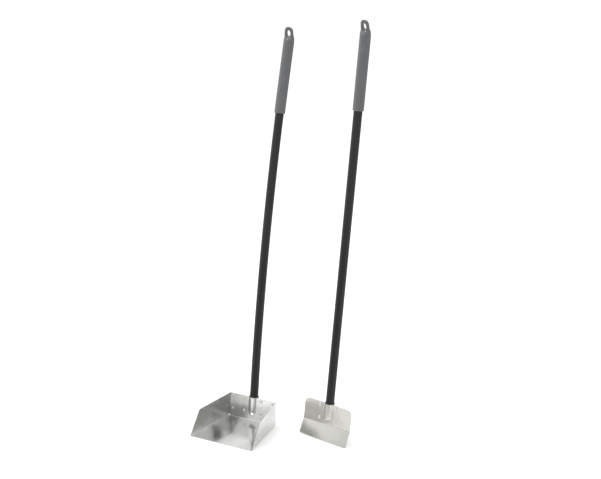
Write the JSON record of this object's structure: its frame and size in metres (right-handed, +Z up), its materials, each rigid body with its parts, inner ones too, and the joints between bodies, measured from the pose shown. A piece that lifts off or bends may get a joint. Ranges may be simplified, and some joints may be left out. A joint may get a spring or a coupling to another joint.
{
  "type": "pan and spade scoop set",
  "caption": "Long-handled yard scoop set: a folded sheet-metal pan with an open mouth and a bent spade that scrapes into it, on tubular handles with vinyl hanging grips.",
  "frame": {"origin": "on the floor, at the centre of the box around the two tools as they stand side by side", "axes": "+Z up, along the handles; +Y towards the back, where the handles lean; -Y out of the pan's mouth; +X from the pan to the spade"},
  "size_m": [0.3682, 0.3571, 1.0017],
  "materials": {
    "sheet": "mill-finish aluminium sheet, softly reflective with fine rolling lines",
    "rivet": "satin blind rivets",
    "tube_paint": "satin black paint",
    "collar": "matt black",
    "grip": "grey dipped vinyl, soft sheen",
    "screw": "zinc plated",
    "plug": "plain moulded"
  },
  "bodies": {
    "pan": {"pan_collar": "collar", "pan_grip": "grip", "pan_handle_screw": "screw", "pan_handle_tube": "tube_paint", "pan_rivet_1": "rivet", "pan_rivet_2": "rivet", "pan_rivet_3": "rivet", "pan_rivet_4": "rivet", "pan_rivet_5": "rivet", "pan_rivet_6": "rivet", "pan_rivet_7": "rivet", "pan_rivet_8": "rivet", "pan_socket_bracket": "sheet", "pan_tray": "sheet", "pan_tube_plug": "plug"},
    "spade": {"spade_blade": "sheet", "spade_collar": "collar", "spade_grip": "grip", "spade_handle_screw": "screw", "spade_handle_tube": "tube_paint", "spade_rivet_1": "rivet", "spade_rivet_2": "rivet", "spade_rivet_3": "rivet", "spade_rivet_4": "rivet", "spade_socket_bracket": "sheet", "spade_tube_plug": "plug"}
  },
  "joints": [
    {"name": "spade_lift", "type": "slide", "parent": "pan", "child": "spade", "axis": [0, 0, 1], "range_m": [0, 0.3]}
  ]
}
